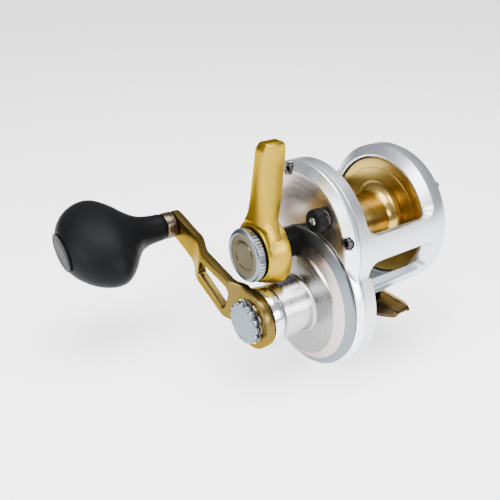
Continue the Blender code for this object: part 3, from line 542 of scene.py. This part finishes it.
def build_left_side():
    """Domed plate with two turned grooves, a slot for the clicker and three screws."""
    dome = [(-33.6, 0.0), (-33.6, 13.6), (-33.45, 15.0), (-33.0, 19.0), (-32.2, 25.0), (-31.3, 31.0),
            (-30.6, 33.2), (-29.8, 34.5), (-28.9, 35.1), (-28.1, 35.2)]
    inside = [(-28.1, 29.8), (-26.6, 29.8), (-26.6, 28.2), (-30.4, 28.2), (-31.2, 7.0), (-26.0, 7.0),
              (-23.6, 6.0), (-23.6, 2.7), (-30.0, 2.7), (-30.0, 0.0)]
    plate = lathe("left_plate", dome + inside, "silver_anodised", SPOOL, FINE,
                  stands_for=("left_side_plate",))
    cut(plate, prism("tool", rectangle(-2.0, 2.0, 10.6, 17.0), -35.0, -29.0))
    for i, angle in enumerate((40.0, 140.0, 260.0)):
        left_screw(plate, i + 1, polar(32.2, angle))
    for radius, surface in ((18.5, -33.05), (27.0, -31.95)):
        low, high, floor = radius - 0.2, radius + 0.2, surface + 0.25
        cut(plate, lathe("tool", [(floor, low), (floor, high), (-34.0, high), (-34.0, low)], None,
                         SPOOL, FINE))
    resmooth(plate)


def left_screw(plate, number, spot):
    hole = [(-26.0, 0.0), (-26.0, 1.6), (-29.9, 1.6), (-29.9, 2.5), (-34.0, 2.5), (-34.0, 0.0)]
    cut(plate, lathe("tool", hole, None, spot, SMALL))
    head = [(-28.4, 0.0), (-28.4, 1.3), (-30.2, 1.3), (-30.2, 2.1), (-31.3, 2.1), (-31.6, 1.8),
            (-31.6, 0.0)]
    screw = lathe(f"left_screw_{number}", head, "steel", spot, SMALL,
                  stands_for=(f"left_plate_screw_{number}",))
    cut(screw, prism("tool", hexagon(1.0), -33.0, -30.8, None, spot))
    resmooth(screw)


def build_clicker():
    """Ribbed sliding button with its stem."""
    disc = [(-36.6, 0.0), (-36.6, 3.0), (-36.4, 3.6), (-35.9, 4.0), (-34.1, 4.0), (-33.9, 3.8),
            (-33.9, 0.0)]
    button = lathe("click_knob", disc, "black_plastic", CLICKER, SMALL * 2, body="clicker",
                   stands_for=("click_button",))
    for k in range(3):
        low = -2.0 + 1.6 * k
        cut(button, prism("tool", rectangle(-5.0, 5.0, low, low + 0.7), -37.0, -36.2, None, CLICKER))
    cut(button, prism("tool", rectangle(-1.6, 1.6, -1.5, 1.5), -34.4, -26.2, None, CLICKER), "UNION")
    resmooth(button)


# --- foot ------------------------------------------------------------------------------
def build_foot():
    """Stamped rod foot, cupped at the sides and tapered at both ends."""
    length, flat, thick, base = 30.0, 4.0, 1.8, -41.2
    side = [(flat, 0.0), (5.2, -0.25), (6.5, -0.7), (8.0, -1.25), (9.3, -1.85), (10.5, -2.3)]
    across = [(-x, drop) for x, drop in reversed(side)] + side
    knots = [(0.0, 1.0), (14.0, 1.0), (19.0, 0.985), (22.0, 0.94), (26.0, 0.74), (29.4, 0.52),
             (length, 0.46)]
    stations = [(-y, share) for y, share in reversed(knots[1:])] + knots
    rings = []
    for y, share in stations:
        ease = 0.35 if abs(y) == length else 0.0
        lower, upper = [], []
        for x, drop in across:
            width = x * share if abs(x) > flat else x
            lower.append((FOOT_X + width, y, base + drop * share + ease))
            upper.append((FOOT_X + width, y, base + drop * share + thick - ease))
        rings.append(lower + list(reversed(upper)))
    foot = loft("rod_foot_look", rings, "dark_steel", SPOOL, stands_for=("rod_foot",), sharp=35.0)
    places = (("foot_screw_rear", -8.0), ("foot_screw_front", 8.0))
    for _, y in places:
        cut(foot, upright("tool", [(-44.0, 2.0), (-38.0, 2.0)], y))
    resmooth(foot, 35.0)
    for node, y in places:
        profile = [(-38.7, 1.7), (-39.1, 1.7), (-40.9, 1.7), (-41.1, 1.5)]
        screw = upright(node + "_look", profile, y, "dark_steel", stands_for=(node,))
        cut(screw, upright("tool", [(-41.5, 0.9), (-40.4, 0.9)], y, count=6))
        resmooth(screw)


def upright(name, profile, y, look=None, count=SMALL, stands_for=()):
    """Turn a (z, radius) profile about the vertical line through the foot at y."""
    turns = [2.0 * math.pi * i / count for i in range(count)]
    rings = [[(FOOT_X + r * math.cos(a), y + r * math.sin(a), z) for a in turns] for z, r in profile]
    return loft(name, rings, look, SPOOL, stands_for=stands_for)


# --- spool -------------------------------------------------------------------------------
def build_spool():
    """Spool with dished flanges, a deep arbor and turned steps near the rims."""
    arbor_r, sweep_r, sweep_x, steps = 12.5, 6.0, 12.8, 12
    sweep = [(0.0, arbor_r)]
    for i in range(steps + 1):
        angle = math.radians(90.0 * i / steps)
        sweep.append((sweep_x + sweep_r * math.sin(angle), arbor_r + sweep_r * (1.0 - math.cos(angle))))
    right = sweep + [(19.15, 24.4), (19.35, 24.6), (19.55, 28.6), (19.75, 29.3), (20.1, 29.6),
                     (20.8, 29.6), (21.1, 29.45), (21.2, 29.2), (21.2, 26.4), (20.9, 26.1),
                     (20.9, 11.0), (21.2, 10.6)]
    left = [(-x, r) for x, r in reversed(right[1:])]
    inner = [(21.2, 6.6), (14.9, 6.6), (14.9, 3.6), (-17.1, 3.6), (-17.1, 6.6), (-21.2, 6.6)]
    lathe("spool_look", left + right + inner, "spool_gold", SPOOL, FINE, body="spool",
          stands_for=("spool",))


# --- crank ----------------------------------------------------------------------------------
def arm_stations():
    """Places along the arm with its half width and rise, from the crank's end to the knob's."""
    end_r, knob_r, spacing = 13.8, 6.8, 0.8
    knots = [(8.0, 11.9, 0.0), (10.4, 11.7, 0.0), (17.0, 11.0, ARM_RISE), (28.0, 10.0, ARM_RISE),
             (36.0, 9.4, ARM_RISE), (39.2, 9.1, ARM_RISE), (54.5, 7.5, ARM_END), (62.0, 7.1, ARM_END),
             (70.0, 6.95, ARM_END)]
    stations = [(-end_r * math.cos(a), end_r * math.sin(a), 0.0)
                for a in (math.radians(6.0 + 7.0 * i) for i in range(12))]
    for (u, v, rise), (next_u, next_v, next_rise) in zip(knots, knots[1:]):
        steps = max(2, int((next_u - u) / spacing))
        for i in range(steps):
            t = i / steps
            smooth = t * t * (3.0 - 2.0 * t)
            stations.append((u + (next_u - u) * t, v + (next_v - v) * t,
                             rise + (next_rise - rise) * smooth))
    stations.append(knots[-1])
    stations += [(ARM_LENGTH + knob_r * math.sin(a), knob_r * math.cos(a), ARM_END)
                 for a in (math.radians(7.5 * i) for i in range(12))]
    return stations


def arm_window():
    """Cutting tool for the long window, chamfered at the outer face."""
    outline = []
    for y, z, r, start, end in ((18.6, 3.4, 3.2, 90.0, 180.0), (18.6, -3.4, 3.2, 180.0, 270.0),
                                (38.6, -1.7, 2.3, 275.0, 360.0), (38.6, 1.7, 2.3, 0.0, 85.0)):
        outline += arc((y, z), r, start, end, 8)
    wide = [(y + math.copysign(0.55, y - 30.0), z + math.copysign(0.5, z)) for y, z in outline]
    return loft("tool", [[(58.0, y, z) for y, z in outline], [(68.6, y, z) for y, z in outline],
                         [(69.7, y, z) for y, z in wide]], None, CRANK)


def build_arm():
    """Forged arm with a long window, raised in the middle to pass over the preset knob."""
    rings = []
    for u, v, lift in arm_stations():
        low = ARM_IN + lift
        high = low + ARM_THICK
        edge = min(0.9, 0.4 * v)
        soft = 0.3 * edge
        section = [(low, -v + edge), (low, v - edge), (low + soft, v - soft), (low + edge, v),
                   (high - edge, v), (high - soft, v - soft), (high, v - edge),
                   (high, -v + edge), (high - soft, -v + soft), (high - edge, -v),
                   (low + edge, -v), (low + soft, -v + soft)]
        rings.append([(x, u, w) for x, w in section])
    arm = loft("arm_look", rings, "arm_gold", CRANK, body="crank", stands_for=("crank_arm",))
    tool = arm_window()
    turn = Matrix.Rotation(math.radians(ARM_ANGLE), 4, "X")
    arm.data.transform(turn)
    tool.data.transform(turn)
    cut(arm, tool)
    drill(arm, 60.0, 72.0, 3.7, CRANK)
    profile = [(66.0, 0.0), (66.0, 3.3), (61.7, 3.3), (61.7, 4.9), (56.0, 4.9), (56.0, 0.0)]
    cut(arm, lathe("tool", profile, None, KNOB, SMALL))
    resmooth(arm)


def build_collar():
    collar = [(55.1, 4.3), (55.1, 13.0), (55.35, 13.45), (55.9, 13.7), (56.5, 13.75), (56.6, 13.45),
              (57.0, 13.45), (57.1, 13.8), (60.7, 13.9), (61.05, 13.75), (61.2, 13.4), (61.2, 4.3)]
    lathe("collar_look", collar, "chromed", CRANK, FINE, body="crank", stands_for=("crank_collar",))


def build_retainer():
    """Thin locking plate with square teeth round its edge."""
    teeth, bore, low, high = 12, 3.7, 66.3, 67.1
    pitch = 360.0 / teeth
    tooth = ((0.0, 10.6), (0.3, 10.6), (0.42, 9.5), (0.5, 9.2), (0.58, 9.2), (0.66, 9.5), (0.78, 10.6))
    outline = [polar(r, pitch * (i + share)) for i in range(teeth) for share, r in tooth]
    hole = [(bore * y / math.hypot(y, z), bore * z / math.hypot(y, z)) for y, z in outline]
    rings = [[(x, y, z) for y, z in ring]
             for x, ring in ((low, outline), (high, outline), (high, hole), (low, hole))]
    loft("retainer_look", rings, "steel", CRANK, closed=True, body="crank", stands_for=("nut_retainer",))


def build_nut():
    """Scalloped nut with a shallow dish in its face."""
    lobes, points_per_lobe = 14, 9
    count = lobes * points_per_lobe
    scallop = []
    for i in range(count):
        share = (i % points_per_lobe) / points_per_lobe
        dip = max(0.0, math.cos(2.0 * math.pi * (share - 0.5)))
        scallop.append(polar(10.0 - 1.15 * dip ** 1.3, 360.0 * i / count))
    steps = ((67.4, 0.93), (67.6, 0.98), (67.95, 1.0), (69.5, 1.0), (69.95, 0.975), (70.2, 0.93))
    rings = [[(x, y * k, z * k) for y, z in scallop] for x, k in steps]
    rings += [[(x, *polar(r, 360.0 * i / count)) for i in range(count)]
              for x, r in ((70.3, 8.4), (70.3, 7.6), (70.15, 7.45))]
    nut = loft("nut_look", rings, "nut_silver", CRANK, body="crank", stands_for=("crank_nut",))
    drill(nut, 66.5, 69.3, 3.7, CRANK)
    resmooth(nut, 34.0)


def build_retainer_screw():
    spot = (CRANK[0] - 11.2, CRANK[1] - 4.4)
    profile = [(66.3, 0.0), (66.3, 1.1), (67.4, 1.1), (67.7, 0.95), (67.8, 0.7), (67.8, 0.0)]
    screw = lathe("retainer_screw_look", profile, "black_steel", spot, SMALL, body="crank",
                  stands_for=("retainer_screw",))
    cut(screw, prism("tool", rectangle(-2.0, 2.0, -0.2, 0.2), 67.4, 68.5, None, spot))
    resmooth(screw)


def oval(x, long_half, short_half):
    """Ring of points with its long axis at KNOB_TILT, x millimetres out from the knob's foot."""
    count = 72
    tilt = math.radians(KNOB_TILT)
    ring = []
    for i in range(count):
        angle = 2.0 * math.pi * i / count
        a, b = long_half * math.cos(angle), short_half * math.sin(angle)
        ring.append((KNOB_X + x, a * math.cos(tilt) - b * math.sin(tilt),
                     a * math.sin(tilt) + b * math.cos(tilt)))
    return ring


def smooth_rows(rows, per):
    """Catmull-Rom spline through rows of numbers, with per steps from each row to the next."""
    out = []
    for i in range(len(rows) - 1):
        before = rows[max(i - 1, 0)]
        a, b = rows[i], rows[i + 1]
        after = rows[min(i + 2, len(rows) - 1)]
        for k in range(per):
            t = k / per
            out.append(tuple(0.5 * (2 * q + (r - p) * t + (2 * p - 5 * q + 4 * r - s) * t * t
                                    + (3 * q - p - 3 * r + s) * t ** 3)
                             for p, q, r, s in zip(before, a, b, after)))
    out.append(rows[-1])
    return out


def build_knob():
    """Bronze ferrule, moulded grip that widens to an oval, and the cap on its end."""
    ferrule = [(0.4, 3.3), (0.4, 6.3), (0.6, 6.7), (1.1, 6.9), (2.2, 6.9), (2.35, 6.6), (2.8, 6.6),
               (2.95, 6.9), (5.5, 6.9), (6.0, 6.7), (6.2, 6.3), (6.2, 3.3)]
    lathe("ferrule_look", [(KNOB_X + x, r) for x, r in ferrule], "bronze", KNOB, ROUND, body="knob",
          stands_for=("knob_ferrule",))
    grip_start, grip_end, bore_end, bore = 6.6, 59.2, 48.0, 3.3
    sections = [(grip_start, 6.6, 6.6), (8.5, 7.05, 7.0), (12.0, 7.3, 7.1), (17.0, 8.2, 7.7),
                (21.5, 10.4, 9.0), (26.0, 15.4, 10.9), (30.5, 21.4, 13.2), (36.0, 26.2, 15.0),
                (41.5, 27.2, 15.4), (47.5, 25.3, 14.7), (52.5, 21.8, 13.1), (56.4, 17.2, 11.1),
                (58.3, 13.9, 9.5), (grip_end, 12.2, 8.5)]
    inside = [[(KNOB_X + bore_end, 0.0, 0.0)], oval(bore_end, bore, bore), oval(grip_start, bore, bore)]
    outside = [oval(*row) for row in smooth_rows(sections, 5)] + [[(KNOB_X + grip_end, 0.0, 0.0)]]
    loft("grip_look", inside + outside, "grip_rubber", KNOB, body="knob", stands_for=("knob_grip",),
         sharp=40.0)
    cap = [(59.4, 11.4, 7.4), (60.0, 11.6, 7.6), (60.35, 11.4, 7.4), (60.55, 10.9, 6.9),
           (60.6, 9.4, 5.4), (60.45, 9.2, 5.2), (60.45, 8.6, 4.6), (60.6, 8.4, 4.4)]
    loft("cap_look", [oval(*row) for row in cap], "black_plastic", KNOB, body="knob",
         stands_for=("knob_end_cap",))


# --- drag lever and buttons --------------------------------------------------------------------
def build_lever():
    """Lever whose blade grows out of its hub in one smooth sweep."""
    hub = [(48.7, 9.0), (48.7, 15.6), (49.0, 16.0), (49.6, 16.2), (54.0, 15.3), (57.3, 14.2), (58.6, 13.7),
           (59.0, 13.4), (59.2, 13.0), (59.2, 12.4), (59.0, 12.2), (56.6, 12.2), (56.6, 2.8), (52.6, 2.8),
           (52.6, 9.0)]
    lever = lathe("lever_look", hub, "lever_gold", SPOOL, FINE, body="lever", stands_for=("drag_lever",))
    # Each row is the height up the blade, its rear and front edges, and its inner face.
    knots = [(3.0, -12.6, 13.0, 51.6), (6.5, -12.2, 12.9, 51.6), (9.5, -11.0, 12.5, 51.6),
             (12.4, -8.5, 11.4, 51.6), (14.6, -6.4, 10.2, 51.5), (17.6, -4.4, 9.1, 51.1),
             (20.5, -3.2, 8.6, 50.5), (24.0, -2.4, 8.1, 49.5), (30.0, -1.2, 7.2, 48.0),
             (37.0, 0.0, 7.0, 47.4), (44.0, 1.2, 7.8, 47.4), (48.6, 1.9, 8.4, 47.7),
             (50.6, 2.3, 8.5, 48.1), (51.6, 2.6, 8.4, 48.6), (52.1, 3.0, 8.1, 49.4),
             (52.25, 3.5, 7.6, 50.2)]
    rings = []
    for z, rear, front, back in smooth_rows(knots, 4):
        rounded_tip = 59.4 - 0.10 * max(0.0, z - 48.0) ** 2
        rise_from_hub = 58.3 + max(0.0, z - 13.0) * 0.55
        face = min(rounded_tip, rise_from_hub)
        edge = min(0.75, 0.3 * (front - rear), 0.3 * (face - back))
        soft = 0.3 * edge
        rings.append([(back + edge, rear, z), (face - edge, rear, z), (face - soft, rear + soft, z),
                      (face, rear + edge, z), (face, front - edge, z), (face - soft, front - soft, z),
                      (face - edge, front, z), (back + edge, front, z), (back + soft, front - soft, z),
                      (back, front - edge, z), (back, rear + edge, z), (back + soft, rear + soft, z)])
    cut(lever, loft("tool", rings, split=True), "UNION")
    drill(lever, 56.6, 60.0, 12.2, SPOOL, FINE)
    drill(lever, 48.0, 52.6, 9.0, SPOOL, ROUND)
    resmooth(lever, 30.0)
    lathe("hub_ring", [(57.0, 2.8), (57.0, 11.6), (59.4, 11.6), (59.7, 11.3), (59.7, 2.8)], "black_plastic",
          SPOOL, ROUND, body="shaft", stands_for=("preset_washer",))


def build_preset_knob():
    """Knurled knob whose face inside its rim is coloured near black as a painted dark reflection."""
    ribs, groove = 50, 0.55
    rows = [(63.4, 2.7, 0.0), (60.0, 2.7, 0.0), (60.0, 11.7, 0.0), (60.15, 12.05, 0.0),
            (60.5, 12.5, groove), (63.1, 12.5, groove), (63.5, 12.1, 0.0), (64.0, 11.8, 0.0),
            (64.2, 11.3, 0.0), (64.2, 10.5, 0.0), (64.05, 10.3, 0.0), (63.95, 10.0, 0.0),
            (63.75, 7.8, 0.0), (63.75, 7.0, 0.0), (64.0, 6.75, 0.0), (64.0, 6.1, 0.0),
            (63.75, 5.9, 0.0), (63.75, 2.2, 0.0)]
    rings = [ribbed(x, radius, depth, ribs) for x, radius, depth in rows]
    knob = loft("preset_look", [[(63.4, 0.0, 0.0)]] + rings + [[(63.8, 0.0, 0.0)]], "nut_silver", SPOOL,
                body="preset", stands_for=("preset_knob",), sharp=34.0)
    knob.data.materials.append(LOOKS["preset_face_painted_reflection"])
    # Faces inside the rim take the near-black look, a painted dark reflection.
    for face in knob.data.polygons:
        if face.center.x > 63.7 * MM and math.hypot(face.center.y, face.center.z) < 10.1 * MM:
            face.material_index = 1


def build_strike_button():
    """Push button with fine grooves, and the screw in its face."""
    ribs, groove = 22, 0.22
    rows = [(30.9, 2.5, 0.0), (36.4, 2.5, 0.0), (36.4, 4.3, 0.0), (34.0, 4.3, 0.0), (34.0, 4.95, 0.0),
            (34.2, 5.15, 0.0), (34.5, 5.2, groove), (37.9, 5.2, groove), (38.4, 5.0, 0.0),
            (38.75, 4.6, 0.0), (38.8, 4.2, 0.0), (38.8, 2.1, 0.0), (38.7, 2.0, 0.0), (37.8, 2.0, 0.0)]
    rings = [ribbed(x, radius, depth, ribs) for x, radius, depth in rows]
    loft("strike_look", [[(30.9, 0.0, 0.0)]] + rings + [[(37.8, 0.0, 0.0)]], "black_plastic", STRIKE,
         body="strike", stands_for=("strike_button",))
    head = [(38.1, 0.0), (38.1, 1.7), (38.8, 1.7), (39.0, 1.55), (39.1, 1.3), (39.1, 0.0)]
    screw = lathe("strike_screw_look", head, "steel", STRIKE, SMALL, body="strike",
                  stands_for=("strike_button_screw",))
    cut(screw, prism("tool", hexagon(0.85), 38.6, 40.0, None, STRIKE))
    resmooth(screw)


# --- stage ---------------------------------------------------------------------------------------
def build_stage():
    """Plain pale floor that glows a little, so that it stays near white."""
    made, tree, shader = nodes_of("stage_look")
    place = add(tree, "ShaderNodeTexCoord").outputs["Object"]
    tree.links.new(tint(tree, noise(tree, place, 3.0, 2.0), (0.93, 0.93, 0.93), (0.95, 0.95, 0.95)),
                   shader.inputs["Base Color"])
    shader.inputs["Roughness"].default_value = 0.7
    shader.inputs["Emission Color"].default_value = (1.0, 1.0, 1.0, 1.0)
    shader.inputs["Emission Strength"].default_value = 1.5
    bm = bmesh.new()
    half = 3.0
    bm.faces.new([bm.verts.new((x, y, 0.0)) for x, y in rectangle(-half, half, -half, half)])
    mesh = bpy.data.meshes.new("floor")
    bm.to_mesh(mesh)
    bm.free()
    mesh.materials.append(made)
    floor = bpy.data.objects.new("floor", mesh)
    floor.location = (0.0, 0.0, FLOOR_Z)
    bpy.context.collection.objects.link(floor)


def area_light(name, place, target, size, power, colour=(1.0, 1.0, 1.0)):
    data = bpy.data.lights.new(name, "AREA")
    data.shape = "RECTANGLE"
    data.size, data.size_y = size
    data.energy = power
    data.color = colour
    light = bpy.data.objects.new(name, data)
    light.location = place
    light.rotation_euler = (Vector(target) - Vector(place)).to_track_quat("-Z", "Y").to_euler()
    bpy.context.collection.objects.link(light)


def build_lights():
    """A world that brightens towards the top, and three soft area lights."""
    world = bpy.data.worlds.new("studio")
    world.use_nodes = True
    tree = world.node_tree
    back = tree.nodes["Background"]
    split = add(tree, "ShaderNodeSeparateXYZ")
    tree.links.new(add(tree, "ShaderNodeTexCoord").outputs["Generated"], split.inputs["Vector"])
    height = spread(tree, split.outputs["Z"], 0.0, 1.0, 0.0, 0.9)
    tree.links.new(tint(tree, height, (0.20, 0.205, 0.215), (1.0, 1.0, 1.0)), back.inputs["Color"])
    back.inputs["Strength"].default_value = 0.85
    bpy.context.scene.world = world
    aim = (0.03, -0.01, 0.03)
    area_light("overhead", (0.05, 0.05, 0.75), aim, (0.7, 0.5), 13.0)
    area_light("key", (0.75, 0.10, 0.40), aim, (0.25, 0.5), 7.5)
    area_light("fill", (-0.10, 0.75, 0.30), aim, (0.5, 0.35), 7.5, (0.96, 0.98, 1.0))


def build_camera():
    sensor, lens_per_sensor = 36.0, 1.2834
    away = (208.13, 211.28, 127.64)
    direction = Vector((-0.5155, -0.7366, -0.4379))
    data = bpy.data.cameras.new("camera")
    data.sensor_width = sensor
    data.lens = lens_per_sensor * sensor
    data.clip_start = 0.01
    camera = bpy.data.objects.new("camera", data)
    camera.location = [(start + step) * MM for start, step in zip(ORIGIN, away)]
    camera.rotation_euler = direction.to_track_quat("-Z", "Y").to_euler()
    bpy.context.collection.objects.link(camera)
    bpy.context.scene.camera = camera


def dress_hidden_nodes():
    """Give every carried-over CAD node the look of its slot."""
    slots = {entry["node"]: entry["material_slot"] for entry in frame["record"]["subparts"]}
    for name, node in frame["nodes"].items():
        node.data.materials.clear()
        node.data.materials.append(LOOKS[slots[name]])


dress_hidden_nodes()
build_frame()
build_side_plate()
build_gear_cover()
build_left_side()
build_clicker()
build_foot()
build_spool()
build_arm()
build_collar()
build_retainer()
build_nut()
build_retainer_screw()
build_knob()
build_lever()
build_preset_knob()
build_strike_button()
build_stage()
build_lights()
build_camera()
